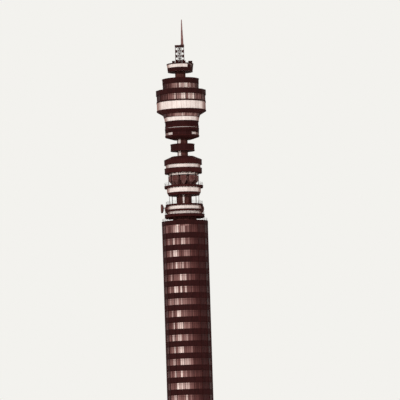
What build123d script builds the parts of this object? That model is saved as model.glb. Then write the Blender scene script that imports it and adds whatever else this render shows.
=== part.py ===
"""Round telecommunications tower with open aerial galleries and a lattice mast, as a 1:10 scale model.

Sizes are millimetres of the model. The origin is the middle of the tower's foot, +Z is up and -Y is the
front. Every wall has the same number of flat bays, and one bay faces the front squarely.
"""

import os
from math import atan2, cos, degrees, radians, tan

from build123d import *

os.makedirs("parts", exist_ok=True)

# Module of the whole tower
sides = 16
bay_angle = 360 / sides
disc_sides = 32
seat = 0.3
panel_joint = 2.0

# Shaft
shaft_face = 850.0
ground_height = 650.0
storeys = 22
storey_height = 456.0
ground_slab_thickness = 60.0
ground_wall = 30.0
slab_thickness = 30.0
pane_thickness = 8.0
spandrel_thickness = 6.0
spandrel_drop = 60.0
spandrel_upstand = 140.0
mullion_width = 14.0
mullion_depth = 18.0
cornice_height = 150.0
cornice_overhang = 22.0
roof_thickness = 40.0

# Entrance in the front bay
door_height = 230.0
door_thickness = 10.0
frame_width = 26.0
frame_depth = 24.0

# Concrete core
core_lower_face = 455.0
core_lower_wall = 60.0
core_lower_sides = 8
collar_radius = 455.0
collar_height = 168.0
core_radius = 290.0
core_wall = 40.0
core_top_radius = 200.0
core_top_wall = 36.0
core_neck_radius = 200.0
core_neck_wall = 38.0

# Lower platforms, which carry closed equipment drums
low_deck_radius = 760.0
low_deck_thickness = 105.0
low_drum_height = 115.0
second_deck_radius = 690.0
second_deck_thickness = 70.0
second_drum_height = 140.0
third_deck_radius = 710.0
third_deck_thickness = 60.0
drum_radius = 640.0
drum_wall = 30.0

# Open gallery above the third platform
open_gallery_height = 350.0
open_posts = 10
open_post_radius = 560.0
post_size = 16.0

# Middle drum and aerial gallery
middle_soffit_radius = 590.0
middle_soffit_height = 105.0
middle_drum_height = 190.0
aerial_deck_radius = 740.0
aerial_deck_thickness = 70.0
aerial_gallery_height = 485.0
aerial_posts = 10
aerial_post_radius = 575.0
aerial_roof_radius = 715.0
aerial_roof_thickness = 180.0

# Upper drum with its coned cap
upper_drum_height = 140.0
upper_drum_radius = 655.0
cap_rim_radius = 720.0
cap_rim_thickness = 180.0
cap_top_radius = 400.0
cap_height = 140.0

# Small drum on the neck
lower_neck_height = 210.0
neck_drum_radius = 466.0
neck_drum_height = 260.0
neck_plate_thickness = 30.0
neck_drum_inset = 16.0
upper_neck_height = 190.0

# Equipment tier under the viewing tier
tier_soffit_radius = 335.0
tier_soffit_height = 100.0
tier_radius = 652.0
tier_floor_thickness = 40.0
tier_wall_inset = 16.0
tier_wall = 20.0
tier_slot_height = 95.0
tier_wall_height = 115.0
tier_roof_thickness = 60.0
tier_cap_height = 35.0
tier_cap_radius = 600.0

# Viewing tier with outward-leaning glass
viewing_floor_radius = 645.0
viewing_floor_thickness = 60.0
viewing_wall_face = 628.0
viewing_wall_height = 160.0
viewing_parapet_height = 165.0
viewing_parapet_face = 644.0
viewing_sill_face = 664.0
viewing_head_face = 708.0
viewing_glass_height = 120.0
viewing_wall = 20.0

# Restaurant drum
restaurant_soffit_radius = 732.0
restaurant_radius = 950.0
restaurant_soffit_height = 130.0
restaurant_edge_height = 20.0
restaurant_inset = 24.0
restaurant_face = restaurant_radius - restaurant_inset
restaurant_parapet_height = 300.0
restaurant_wall = 24.0
restaurant_sill_height = 50.0
restaurant_sill_overhang = 10.0
restaurant_glass_height = 240.0
restaurant_glass_inset = 20.0
restaurant_mullion_width = 12.0
restaurant_mullion_depth = 14.0
restaurant_cornice_height = 165.0
restaurant_cornice_overhang = 26.0
restaurant_roof_thickness = 40.0

# Upper tier
upper_face = 690.0
upper_sill_height = 50.0
upper_glass_height = 205.0
upper_glass_inset = 12.0
upper_fascia_height = 195.0
upper_wall = 24.0
upper_roof_thickness = 40.0

# Top drum and its cabinet
top_neck_height = 285.0
top_drum_floor_radius = 468.0
top_drum_rim_radius = 505.0
top_drum_height = 310.0
top_drum_wall = 20.0
top_plate_thickness = 30.0
top_deck_depth = 60.0
cabinet_size = 150.0
cabinet_height = 160.0
cabinet_inset = 73.0
cabinet_offset = top_drum_floor_radius - cabinet_inset

# Lattice mast and spike
mast_width = 344.0
mast_leg = 24.0
mast_bays = 4
mast_bay_height = 185.0
brace_width = 14.0
brace_thickness = 12.0
head_plate_thickness = 36.0
head_plate_overhang = 8.0
spike_offset = 106.0
spike_height = 1000.0
spike_foot_radius = 54.0
spike_tip_radius = 15.0
spike_sides = 16

# Horn aerials, each with its mouth facing out over the gallery
horn_count = 10
horn_mouth_radius = 550.0
horn_mouth_width = 210.0
horn_mouth_height = 190.0
horn_height = 370.0
horn_throat_radius = 410.0
horn_throat_size = 44.0
horn_back_radius = 345.0
horn_shoulder_height = 230.0
horn_foot_height = 40.0
horn_rim = 10.0
horn_recess = 6.0

# Drum aerials on brackets outside the lower platforms
dish_angles = (180, 45, 135)
dish_reach = 150.0
dish_sides = 24
dish_radius = 170.0
dish_depth = 60.0
dish_back_radius = 70.0
dish_back_depth = 40.0
dish_arm = 30.0

# Levels, each the sum of the heights below it
shaft_base = ground_height - slab_thickness
cornice_base = ground_height + storeys * storey_height
roof_top = cornice_base + cornice_height
roof_base = roof_top - roof_thickness
low_deck_base = roof_top + collar_height
low_drum_base = low_deck_base + low_deck_thickness
second_deck_base = low_drum_base + low_drum_height
second_drum_base = second_deck_base + second_deck_thickness
third_deck_base = second_drum_base + second_drum_height
open_gallery_floor = third_deck_base + third_deck_thickness
middle_soffit_base = open_gallery_floor + open_gallery_height
middle_drum_base = middle_soffit_base + middle_soffit_height
aerial_deck_base = middle_drum_base + middle_drum_height
aerial_floor = aerial_deck_base + aerial_deck_thickness
aerial_roof_base = aerial_floor + aerial_gallery_height
upper_drum_base = aerial_roof_base + aerial_roof_thickness
cap_rim_base = upper_drum_base + upper_drum_height
cap_rim_top = cap_rim_base + cap_rim_thickness
cap_top = cap_rim_top + cap_height
neck_drum_base = cap_top + lower_neck_height
neck_drum_top = neck_drum_base + neck_drum_height
tier_soffit_base = neck_drum_top + upper_neck_height
tier_floor_base = tier_soffit_base + tier_soffit_height
tier_slot_base = tier_floor_base + tier_floor_thickness
tier_wall_base = tier_slot_base + tier_slot_height
tier_roof_base = tier_wall_base + tier_wall_height
tier_cap_base = tier_roof_base + tier_roof_thickness
viewing_floor_base = tier_cap_base + tier_cap_height
viewing_floor_top = viewing_floor_base + viewing_floor_thickness
viewing_parapet_base = viewing_floor_top + viewing_wall_height
viewing_glass_base = viewing_parapet_base + viewing_parapet_height
restaurant_soffit_base = viewing_glass_base + viewing_glass_height
restaurant_edge_base = restaurant_soffit_base + restaurant_soffit_height
restaurant_floor = restaurant_edge_base + restaurant_edge_height
restaurant_sill_base = restaurant_floor + restaurant_parapet_height
restaurant_glass_base = restaurant_sill_base + restaurant_sill_height
restaurant_cornice_base = restaurant_glass_base + restaurant_glass_height
restaurant_roof_top = restaurant_cornice_base + restaurant_cornice_height
upper_glass_base = restaurant_roof_top + upper_sill_height
upper_fascia_base = upper_glass_base + upper_glass_height
upper_roof_top = upper_fascia_base + upper_fascia_height
top_drum_base = upper_roof_top + top_neck_height
top_drum_top = top_drum_base + top_drum_height
mast_base = top_drum_top - top_deck_depth
mast_top = mast_base + mast_bays * mast_bay_height
spike_base = mast_top + head_plate_thickness


def many_sided(face, count=sides, mode=Mode.ADD):
    """Polygon of the tower's plan: face is the distance from the axis to each flat, and one flat faces -Y."""
    RegularPolygon(face, count, major_radius=False, rotation=180 / count, mode=mode)


def wall_panel(face_low, face_high, low, high, wall):
    """One flat bay of a many-sided wall, on the +X side, with half a joint at each mitred edge."""
    spread = tan(radians(bay_angle / 2))
    reach = max(face_low, face_high) + wall
    half_width = reach * spread - panel_joint / 2
    with BuildPart() as panel:
        with BuildSketch(Plane.XZ):
            with BuildLine():
                Polyline(
                    (face_low, low), (face_high, high), (face_high - wall, high), (face_low - wall, low),
                    close=True,
                )
            make_face()
        extrude(amount=half_width, both=True)
        with BuildSketch(Plane.XY.offset(low)):
            with BuildLine():
                Polyline(
                    (panel_joint / 2 / spread, 0), (reach, -half_width), (reach, half_width),
                    close=True,
                )
            make_face()
        extrude(amount=high - low, mode=Mode.INTERSECT)
    return panel.part


def ring_wall(face_low, face_high, low, high, wall):
    """All the flat bays of a many-sided wall between two levels, leaning where its two faces differ."""
    panel = wall_panel(face_low, face_high, low, high, wall)
    with BuildPart() as ring:
        with PolarLocations(0, sides, start_angle=-90):
            add(panel)
    return ring.part


def round_plate(radius, low, thickness, hole=0.0):
    """Platform with a many-sided rim that reads as round, and a hole that the core passes through."""
    with BuildPart() as plate:
        with BuildSketch(Plane.XY.offset(low)):
            many_sided(radius * cos(radians(180 / disc_sides)), disc_sides)
            if hole:
                many_sided(hole, mode=Mode.SUBTRACT)
        extrude(amount=thickness)
    return plate.part


def coned_plate(radius_low, radius_high, low, high, hole):
    """Platform soffit or cap whose rim leans between two radii, with a hole for the core."""
    rim = cos(radians(180 / disc_sides))
    lean = degrees(atan2(abs(radius_high - radius_low) * rim, high - low))
    place = Location((0, 0, low))
    if radius_high > radius_low:
        place = Location((0, 0, high), (180, 0, 0))
    with BuildPart() as frustum:
        with BuildSketch():
            many_sided(max(radius_low, radius_high) * rim, disc_sides)
        extrude(amount=high - low, taper=lean)
    with BuildPart() as cone:
        with Locations(place):
            add(frustum.part)
        if hole:
            with BuildSketch(Plane.XY.offset(low)):
                many_sided(hole)
            extrude(amount=high - low, mode=Mode.SUBTRACT)
    return cone.part


def core_tube(radius, wall, low, high):
    """Stretch of the concrete core, whose many flats read as round."""
    with BuildPart() as tube:
        with BuildSketch(Plane.XY.offset(low)):
            many_sided(radius)
            many_sided(radius - wall, mode=Mode.SUBTRACT)
        extrude(amount=high - low)
    return tube.part


def post_ring(count, radius, low, high, size):
    """Square posts on a circle, halfway between the bays' middles."""
    with BuildPart() as posts:
        with BuildSketch(Plane.XY.offset(low)):
            with PolarLocations(radius, count, start_angle=-90 + 180 / count):
                Rectangle(size, size)
        extrude(amount=high - low)
    return posts.part


core_hole = core_radius + 2 * seat
neck_hole = core_neck_radius + 2 * seat
core_top_hole = core_top_radius + 2 * seat

# Ground slab
with BuildPart() as ground_slab:
    with BuildSketch():
        many_sided(shaft_face)
    extrude(amount=ground_slab_thickness)
ground_slab.part.label = "ground_slab"
export_step(ground_slab.part, "parts/ground_slab.step")

# Ground storey walls: one panel a bay, and over the entrance only the panel above the door frame
side_bays = PolarLocations(0, sides, start_angle=-90).locations[1:]
full_bay = wall_panel(shaft_face, shaft_face, ground_slab_thickness, shaft_base, ground_wall)
frame_top = ground_slab_thickness + door_height + frame_width
over_door = wall_panel(shaft_face, shaft_face, frame_top, shaft_base, ground_wall)
with BuildPart() as ground_walls:
    with Locations(*side_bays):
        add(full_bay)
    with PolarLocations(0, 1, start_angle=-90):
        add(over_door)
ground_walls.part.label = "ground_walls"
export_step(ground_walls.part, "parts/ground_walls.step")

# Entrance frame and its pair of doors
frame_outer = 2 * (shaft_face - ground_wall) * tan(radians(bay_angle / 2)) - panel_joint
leaf_width = (frame_outer - 3 * frame_width) / 2
entrance_plane = Plane.XZ.offset(shaft_face - ground_wall + frame_depth)
with BuildPart() as entrance_frame:
    with BuildSketch(entrance_plane):
        with Locations((0, ground_slab_thickness)):
            Rectangle(frame_outer, door_height + frame_width, align=(Align.CENTER, Align.MIN))
        for side in (-1, 1):
            with Locations((side * (leaf_width + frame_width) / 2, ground_slab_thickness)):
                Rectangle(leaf_width, door_height, align=(Align.CENTER, Align.MIN), mode=Mode.SUBTRACT)
    extrude(amount=-frame_depth)
entrance_frame.part.label = "entrance_frame"
export_step(entrance_frame.part, "parts/entrance_frame.step")

with BuildPart() as entrance_doors:
    with BuildSketch(entrance_plane.offset(-door_thickness / 2)):
        for side in (-1, 1):
            with Locations((side * (leaf_width + frame_width) / 2, ground_slab_thickness + seat)):
                Rectangle(
                    leaf_width - 2 * seat, door_height - 2 * seat, align=(Align.CENTER, Align.MIN)
                )
    extrude(amount=-door_thickness)
entrance_doors.part.label = "entrance_doors"
export_step(entrance_doors.part, "parts/entrance_doors.step")

# Core inside the shaft, from the ground slab to the roof, and its round collar above the roof
collar = core_tube(collar_radius, core_lower_wall, roof_top, low_deck_base)
with BuildPart() as core_lower:
    with BuildSketch(Plane.XY.offset(ground_slab_thickness)):
        many_sided(core_lower_face, core_lower_sides)
        many_sided(core_lower_face - core_lower_wall, core_lower_sides, mode=Mode.SUBTRACT)
    extrude(amount=roof_base - ground_slab_thickness)
    add(collar)
core_lower.part.label = "core_lower"
export_step(core_lower.part, "parts/core_lower.step")

# Floor slabs of the storeys
slab_face = shaft_face - pane_thickness - seat
with BuildPart() as floor_slabs:
    for storey in range(storeys):
        with BuildSketch(Plane.XY.offset(ground_height - slab_thickness + storey * storey_height)):
            many_sided(slab_face)
            many_sided(core_lower_face + seat, core_lower_sides, mode=Mode.SUBTRACT)
    extrude(amount=slab_thickness)
floor_slabs.part.label = "floor_slabs"
export_step(floor_slabs.part, "parts/floor_slabs.step")

# Curtain wall: a full-height pane in each bay
shaft_panes = ring_wall(shaft_face, shaft_face, shaft_base, cornice_base, pane_thickness)
with BuildPart() as shaft_glazing:
    add(shaft_panes)
shaft_glazing.part.label = "shaft_glazing"
export_step(shaft_glazing.part, "parts/shaft_glazing.step")

# Spandrel bands outside the panes, level with each floor
spandrel_face = shaft_face + seat + spandrel_thickness
with BuildPart() as shaft_spandrels:
    for storey in range(storeys):
        with BuildSketch(Plane.XY.offset(ground_height - spandrel_drop + storey * storey_height)):
            many_sided(spandrel_face)
            many_sided(spandrel_face - spandrel_thickness, mode=Mode.SUBTRACT)
    extrude(amount=spandrel_drop + spandrel_upstand)
shaft_spandrels.part.label = "shaft_spandrels"
export_step(shaft_spandrels.part, "parts/shaft_spandrels.step")

# Mullion fins at the corners of the bays
fin_radius = spandrel_face / cos(radians(bay_angle / 2)) + seat
with BuildPart() as shaft_mullions:
    with BuildSketch(Plane.XY.offset(shaft_base)):
        with PolarLocations(fin_radius, sides, start_angle=-90 + bay_angle / 2):
            Rectangle(mullion_depth, mullion_width, align=(Align.MIN, Align.CENTER))
    extrude(amount=cornice_base - shaft_base)
shaft_mullions.part.label = "shaft_mullions"
export_step(shaft_mullions.part, "parts/shaft_mullions.step")

# Cornice round the top of the shaft, and the roof inside it
cornice_panels = ring_wall(
    shaft_face + cornice_overhang, shaft_face + cornice_overhang, cornice_base, roof_top,
    cornice_overhang + pane_thickness,
)
with BuildPart() as shaft_cornice:
    add(cornice_panels)
shaft_cornice.part.label = "shaft_cornice"
export_step(shaft_cornice.part, "parts/shaft_cornice.step")

with BuildPart() as shaft_roof:
    with BuildSketch(Plane.XY.offset(roof_base)):
        many_sided(slab_face)
    extrude(amount=roof_thickness)
shaft_roof.part.label = "shaft_roof"
export_step(shaft_roof.part, "parts/shaft_roof.step")

# Core from the lowest platform to the rim of the cap, and its slimmer neck from there to the restaurant
upper_tube = core_tube(core_radius, core_wall, low_drum_base, cap_rim_top)
neck_tube = core_tube(core_neck_radius, core_neck_wall, cap_rim_top, restaurant_soffit_base)
with BuildPart() as core_upper:
    add(upper_tube)
    add(neck_tube)
core_upper.part.label = "core_upper"
export_step(core_upper.part, "parts/core_upper.step")

# Platforms of the galleries, the last with a coned cap over the upper drum
deck_pieces = [
    round_plate(low_deck_radius, low_deck_base, low_deck_thickness),
    round_plate(second_deck_radius, second_deck_base, second_deck_thickness, core_hole),
    round_plate(third_deck_radius, third_deck_base, third_deck_thickness, core_hole),
    coned_plate(middle_soffit_radius, drum_radius, middle_soffit_base, middle_drum_base, core_hole),
    round_plate(aerial_deck_radius, aerial_deck_base, aerial_deck_thickness, core_hole),
    round_plate(aerial_roof_radius, aerial_roof_base, aerial_roof_thickness, core_hole),
    round_plate(neck_drum_radius, neck_drum_base, neck_plate_thickness, neck_hole),
    round_plate(
        neck_drum_radius, neck_drum_top - neck_plate_thickness, neck_plate_thickness, neck_hole
    ),
    round_plate(cap_rim_radius, cap_rim_base, cap_rim_thickness, core_hole),
    coned_plate(cap_rim_radius, cap_top_radius, cap_rim_top, cap_top, neck_hole),
]
with BuildPart() as gallery_decks:
    add(deck_pieces)
gallery_decks.part.label = "gallery_decks"
export_step(gallery_decks.part, "parts/gallery_decks.step")

# Pale drum walls that close the space between platforms
drum_pieces = [
    ring_wall(drum_radius, drum_radius, low_drum_base, second_deck_base, drum_wall),
    ring_wall(drum_radius, drum_radius, second_drum_base, third_deck_base, drum_wall),
    ring_wall(drum_radius, drum_radius, middle_drum_base, aerial_deck_base, drum_wall),
    ring_wall(upper_drum_radius, upper_drum_radius, upper_drum_base, cap_rim_base, drum_wall),
]
with BuildPart() as gallery_drums:
    add(drum_pieces)
gallery_drums.part.label = "gallery_drums"
export_step(gallery_drums.part, "parts/gallery_drums.step")

# Posts round the open gallery and the aerial gallery
open_ring = post_ring(open_posts, open_post_radius, open_gallery_floor, middle_soffit_base, post_size)
aerial_ring = post_ring(aerial_posts, aerial_post_radius, aerial_floor, aerial_roof_base, post_size)
with BuildPart() as gallery_posts:
    add(open_ring)
    add(aerial_ring)
gallery_posts.part.label = "gallery_posts"
export_step(gallery_posts.part, "parts/gallery_posts.step")

# Horn aerial: a tapering horn that rises from its foot and turns outwards to a covered square mouth
horn_lip = aerial_floor + horn_height - horn_mouth_height
horn_top = aerial_floor + horn_height
horn_throat_level = aerial_floor + horn_foot_height
horn_middle = aerial_floor + horn_height - horn_mouth_height / 2
with BuildPart() as horn:
    with BuildSketch(Plane.XZ):
        with BuildLine():
            Polyline(
                (horn_mouth_radius, horn_top),
                (horn_mouth_radius, horn_lip),
                (horn_throat_radius + horn_throat_size / 2, horn_throat_level),
                (horn_throat_radius - horn_throat_size / 2, horn_throat_level),
                (horn_back_radius, aerial_floor + horn_shoulder_height),
            )
            JernArc(
                start=(horn_back_radius, aerial_floor + horn_shoulder_height),
                tangent=(0, 1),
                radius=horn_height - horn_shoulder_height,
                arc_size=-90,
            )
            Line(
                (horn_back_radius + horn_height - horn_shoulder_height, horn_top),
                (horn_mouth_radius, horn_top),
            )
        make_face()
    extrude(amount=horn_mouth_width / 2, both=True)
    with BuildSketch(Plane.YZ):
        with BuildLine():
            Polyline(
                (-horn_throat_size / 2, horn_throat_level),
                (horn_throat_size / 2, horn_throat_level),
                (horn_mouth_width / 2, horn_lip),
                (horn_mouth_width / 2, horn_top),
                (-horn_mouth_width / 2, horn_top),
                (-horn_mouth_width / 2, horn_lip),
                close=True,
            )
        make_face()
    extrude(amount=horn_mouth_radius, mode=Mode.INTERSECT)
    with BuildSketch(Plane.YZ.offset(horn_mouth_radius)):
        with Locations((0, horn_middle)):
            Rectangle(
                horn_mouth_width - 2 * horn_rim, horn_mouth_height - 2 * horn_rim
            )
    extrude(amount=-horn_recess, mode=Mode.SUBTRACT)
    with BuildSketch(Plane.XY.offset(aerial_floor)):
        with Locations((horn_throat_radius, 0)):
            Rectangle(horn_throat_size, horn_throat_size)
    extrude(amount=horn_foot_height)

with BuildPart() as horn_aerials:
    with PolarLocations(0, horn_count, start_angle=-90):
        add(horn.part)
horn_aerials.part.label = "horn_aerials"
export_step(horn_aerials.part, "parts/horn_aerials.step")

# Drum aerial: a shrouded dish with a coned back, on an arm from the drum wall
dish_level = (second_drum_base + third_deck_base) / 2
dish_back = drum_radius + dish_reach
dish_plane = Plane(origin=(0, 0, dish_level), x_dir=(0, 1, 0), z_dir=(1, 0, 0))
dish_rim = dish_back + dish_back_depth
dish_taper = (dish_radius - dish_back_radius) * cos(radians(180 / dish_sides))
with BuildPart() as dish_cone:
    with BuildSketch():
        RegularPolygon(dish_radius, dish_sides)
    extrude(amount=dish_back_depth, taper=degrees(atan2(dish_taper, dish_back_depth)))

with BuildPart() as dish:
    with Locations(Location((dish_rim, 0, dish_level), (0, -90, 0))):
        add(dish_cone.part)
    with BuildSketch(dish_plane.offset(dish_rim)):
        RegularPolygon(dish_radius, dish_sides)
    extrude(amount=dish_depth)
    with BuildSketch(dish_plane.offset(drum_radius + seat)):
        Rectangle(dish_arm, dish_arm)
    extrude(amount=dish_reach - seat)

with BuildPart() as dish_aerials:
    for angle in dish_angles:
        add(dish.part, rotation=(0, 0, angle))
dish_aerials.part.label = "dish_aerials"
export_step(dish_aerials.part, "parts/dish_aerials.step")

# Equipment tier: coned floor, pale slot, dark wall and a capped roof. The dark walls of the small drum
# below it and of the viewing tier above it go with its own
floor_cone = coned_plate(tier_soffit_radius, tier_radius, tier_soffit_base, tier_floor_base, neck_hole)
floor_rim = round_plate(tier_radius, tier_floor_base, tier_floor_thickness, neck_hole)
with BuildPart() as tier_floor:
    add(floor_cone)
    add(floor_rim)
tier_floor.part.label = "tier_floor"
export_step(tier_floor.part, "parts/tier_floor.step")

tier_face = tier_radius - tier_wall_inset
tier_ring = ring_wall(tier_face, tier_face, tier_wall_base, tier_roof_base, tier_wall)
neck_drum_face = neck_drum_radius - neck_drum_inset
neck_drum_ring = ring_wall(
    neck_drum_face, neck_drum_face, neck_drum_base + neck_plate_thickness,
    neck_drum_top - neck_plate_thickness, drum_wall,
)
viewing_ring = ring_wall(
    viewing_wall_face, viewing_wall_face, viewing_floor_top, viewing_parapet_base, viewing_wall
)
with BuildPart() as tier_walls:
    add(neck_drum_ring)
    add(tier_ring)
    add(viewing_ring)
tier_walls.part.label = "tier_walls"
export_step(tier_walls.part, "parts/tier_walls.step")

tier_slot_ring = ring_wall(
    tier_face - tier_wall / 2, tier_face - tier_wall / 2, tier_slot_base, tier_wall_base, tier_wall / 2
)
with BuildPart() as tier_glazing:
    add(tier_slot_ring)
tier_glazing.part.label = "tier_glazing"
export_step(tier_glazing.part, "parts/tier_glazing.step")

roof_rim = round_plate(tier_radius, tier_roof_base, tier_roof_thickness, neck_hole)
roof_cap = round_plate(tier_cap_radius, tier_cap_base, tier_cap_height, neck_hole)
with BuildPart() as tier_roof:
    add(roof_rim)
    add(roof_cap)
tier_roof.part.label = "tier_roof"
export_step(tier_roof.part, "parts/tier_roof.step")

# Viewing tier: floor, pale parapet over the dark wall, and outward-leaning glass
viewing_plate = round_plate(
    viewing_floor_radius, viewing_floor_base, viewing_floor_thickness, neck_hole
)
with BuildPart() as viewing_floor:
    add(viewing_plate)
viewing_floor.part.label = "viewing_floor"
export_step(viewing_floor.part, "parts/viewing_floor.step")

viewing_band = ring_wall(
    viewing_parapet_face, viewing_sill_face, viewing_parapet_base, viewing_glass_base, viewing_wall
)
with BuildPart() as viewing_parapet:
    add(viewing_band)
viewing_parapet.part.label = "viewing_parapet"
export_step(viewing_parapet.part, "parts/viewing_parapet.step")

viewing_panes = ring_wall(
    viewing_sill_face, viewing_head_face, viewing_glass_base, restaurant_soffit_base, pane_thickness
)
with BuildPart() as viewing_glazing:
    add(viewing_panes)
viewing_glazing.part.label = "viewing_glazing"
export_step(viewing_glazing.part, "parts/viewing_glazing.step")

# Restaurant: coned floor, pale parapet, sill, glass with mullions, dark cornice and roof
floor_flare = coned_plate(
    restaurant_soffit_radius, restaurant_radius, restaurant_soffit_base, restaurant_edge_base, 0
)
floor_edge = round_plate(restaurant_radius, restaurant_edge_base, restaurant_edge_height)
with BuildPart() as restaurant_base:
    add(floor_flare)
    add(floor_edge)
restaurant_base.part.label = "restaurant_base"
export_step(restaurant_base.part, "parts/restaurant_base.step")

parapet_panels = ring_wall(
    restaurant_face, restaurant_face, restaurant_floor, restaurant_sill_base, restaurant_wall
)
with BuildPart() as restaurant_parapet:
    add(parapet_panels)
restaurant_parapet.part.label = "restaurant_parapet"
export_step(restaurant_parapet.part, "parts/restaurant_parapet.step")

sill_face = restaurant_face + restaurant_sill_overhang
glass_face = restaurant_face - restaurant_glass_inset
sill_ring = ring_wall(
    sill_face, sill_face, restaurant_sill_base, restaurant_glass_base,
    restaurant_sill_overhang + restaurant_glass_inset + restaurant_wall,
)
with BuildPart() as restaurant_sill:
    add(sill_ring)
restaurant_sill.part.label = "restaurant_sill"
export_step(restaurant_sill.part, "parts/restaurant_sill.step")

restaurant_panes = ring_wall(
    glass_face, glass_face, restaurant_glass_base, restaurant_cornice_base, pane_thickness
)
with BuildPart() as restaurant_glazing:
    add(restaurant_panes)
restaurant_glazing.part.label = "restaurant_glazing"
export_step(restaurant_glazing.part, "parts/restaurant_glazing.step")

mullion_radius = glass_face / cos(radians(bay_angle / 2)) + seat
with BuildPart() as restaurant_mullions:
    with BuildSketch(Plane.XY.offset(restaurant_glass_base)):
        with PolarLocations(mullion_radius, sides, start_angle=-90 + bay_angle / 2):
            Rectangle(
                restaurant_mullion_depth, restaurant_mullion_width, align=(Align.MIN, Align.CENTER)
            )
    extrude(amount=restaurant_glass_height)
restaurant_mullions.part.label = "restaurant_mullions"
export_step(restaurant_mullions.part, "parts/restaurant_mullions.step")

cornice_face = restaurant_face + restaurant_cornice_overhang
cornice_wall = restaurant_cornice_overhang + restaurant_glass_inset + restaurant_wall
cornice_ring = ring_wall(
    cornice_face, cornice_face, restaurant_cornice_base, restaurant_roof_top, cornice_wall
)
with BuildPart() as restaurant_cornice:
    add(cornice_ring)
restaurant_cornice.part.label = "restaurant_cornice"
export_step(restaurant_cornice.part, "parts/restaurant_cornice.step")

with BuildPart() as restaurant_roof:
    with BuildSketch(Plane.XY.offset(restaurant_roof_top - restaurant_roof_thickness)):
        many_sided(cornice_face - cornice_wall - seat)
        many_sided(core_top_hole, mode=Mode.SUBTRACT)
    extrude(amount=restaurant_roof_thickness)
restaurant_roof.part.label = "restaurant_roof"
export_step(restaurant_roof.part, "parts/restaurant_roof.step")

# Upper tier: sill and fascia walls, glass between them, and a roof
upper_sill_ring = ring_wall(upper_face, upper_face, restaurant_roof_top, upper_glass_base, upper_wall)
upper_fascia_ring = ring_wall(
    upper_face, upper_face, upper_fascia_base, upper_roof_top - upper_roof_thickness, upper_wall
)
with BuildPart() as upper_walls:
    add(upper_sill_ring)
    add(upper_fascia_ring)
upper_walls.part.label = "upper_walls"
export_step(upper_walls.part, "parts/upper_walls.step")

upper_glass_face = upper_face - upper_glass_inset
upper_panes = ring_wall(
    upper_glass_face, upper_glass_face, upper_glass_base, upper_fascia_base, pane_thickness
)
with BuildPart() as upper_glazing:
    add(upper_panes)
upper_glazing.part.label = "upper_glazing"
export_step(upper_glazing.part, "parts/upper_glazing.step")

upper_plate = round_plate(
    upper_face / cos(radians(bay_angle / 2)), upper_roof_top - upper_roof_thickness,
    upper_roof_thickness, core_top_hole,
)
with BuildPart() as upper_roof:
    add(upper_plate)
upper_roof.part.label = "upper_roof"
export_step(upper_roof.part, "parts/upper_roof.step")

# Core from the restaurant floor to the top drum
top_tube = core_tube(core_top_radius, core_top_wall, restaurant_floor, top_drum_base)
with BuildPart() as core_top:
    add(top_tube)
core_top.part.label = "core_top"
export_step(core_top.part, "parts/core_top.step")

# Top drum: floor, outward-leaning wall and a deck sunk below the wall's rim
wall_lean = (top_drum_rim_radius - top_drum_floor_radius) / top_drum_height
deck_underside = mast_base - top_plate_thickness
deck_face = top_drum_floor_radius + wall_lean * (deck_underside - top_drum_base) - top_drum_wall - seat
with BuildPart() as top_drum_plates:
    with BuildSketch(Plane.XY.offset(top_drum_base)):
        many_sided(top_drum_floor_radius - top_drum_wall - seat)
    with BuildSketch(Plane.XY.offset(deck_underside)):
        many_sided(deck_face)
    extrude(amount=top_plate_thickness)
top_drum_plates.part.label = "top_drum_plates"
export_step(top_drum_plates.part, "parts/top_drum_plates.step")

top_panels = ring_wall(
    top_drum_floor_radius, top_drum_rim_radius, top_drum_base, top_drum_top, top_drum_wall
)
with BuildPart() as top_drum_walls:
    add(top_panels)
top_drum_walls.part.label = "top_drum_walls"
export_step(top_drum_walls.part, "parts/top_drum_walls.step")

with BuildPart() as equipment_cabinet:
    with BuildSketch(Plane.XY.offset(mast_base)):
        with Locations((cabinet_offset, 0)):
            Rectangle(cabinet_size, cabinet_size)
    extrude(amount=cabinet_height)
equipment_cabinet.part.label = "equipment_cabinet"
export_step(equipment_cabinet.part, "parts/equipment_cabinet.step")

# Lattice mast: four legs, a braced panel on each side, and a head plate that carries the spike
leg_offset = mast_width - mast_leg
with BuildPart() as mast_legs:
    with BuildSketch(Plane.XY.offset(mast_base)):
        with GridLocations(leg_offset, leg_offset, 2, 2):
            Rectangle(mast_leg, mast_leg)
    extrude(amount=mast_top - mast_base)
mast_legs.part.label = "mast_legs"
export_step(mast_legs.part, "parts/mast_legs.step")

brace_span = mast_width - 2 * mast_leg - 2 * seat
brace_run = Vector(brace_span, mast_bay_height)
brace_slope = Vector(1, 0).get_angle(brace_run)
mast_height = mast_top - mast_base
with BuildPart() as mast_side:
    with BuildSketch(Plane.XZ.offset(leg_offset / 2)):
        for bay in range(mast_bays):
            bay_middle = mast_base + (bay + 0.5) * mast_bay_height
            for slope in (-brace_slope, brace_slope):
                with Locations(Location((0, bay_middle), slope)):
                    Rectangle(brace_run.length, brace_width)
        for level in range(mast_bays + 1):
            with Locations((0, mast_base + level * mast_bay_height)):
                Rectangle(brace_span, 2 * brace_width)
        with Locations((0, mast_base + mast_height / 2)):
            Rectangle(brace_span, mast_height, mode=Mode.INTERSECT)
    extrude(amount=brace_thickness / 2, both=True)

for turn, side_name in enumerate(("front", "right", "back", "left")):
    with BuildPart() as mast_panel:
        add(mast_side.part, rotation=(0, 0, 90 * turn))
    mast_panel.part.label = f"mast_side_{side_name}"
    export_step(mast_panel.part, f"parts/mast_side_{side_name}.step")

with BuildPart() as mast_head_plate:
    with BuildSketch(Plane.XY.offset(mast_top)):
        Rectangle(mast_width + 2 * head_plate_overhang, mast_width + 2 * head_plate_overhang)
    extrude(amount=head_plate_thickness)
mast_head_plate.part.label = "mast_head_plate"
export_step(mast_head_plate.part, "parts/mast_head_plate.step")

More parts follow.
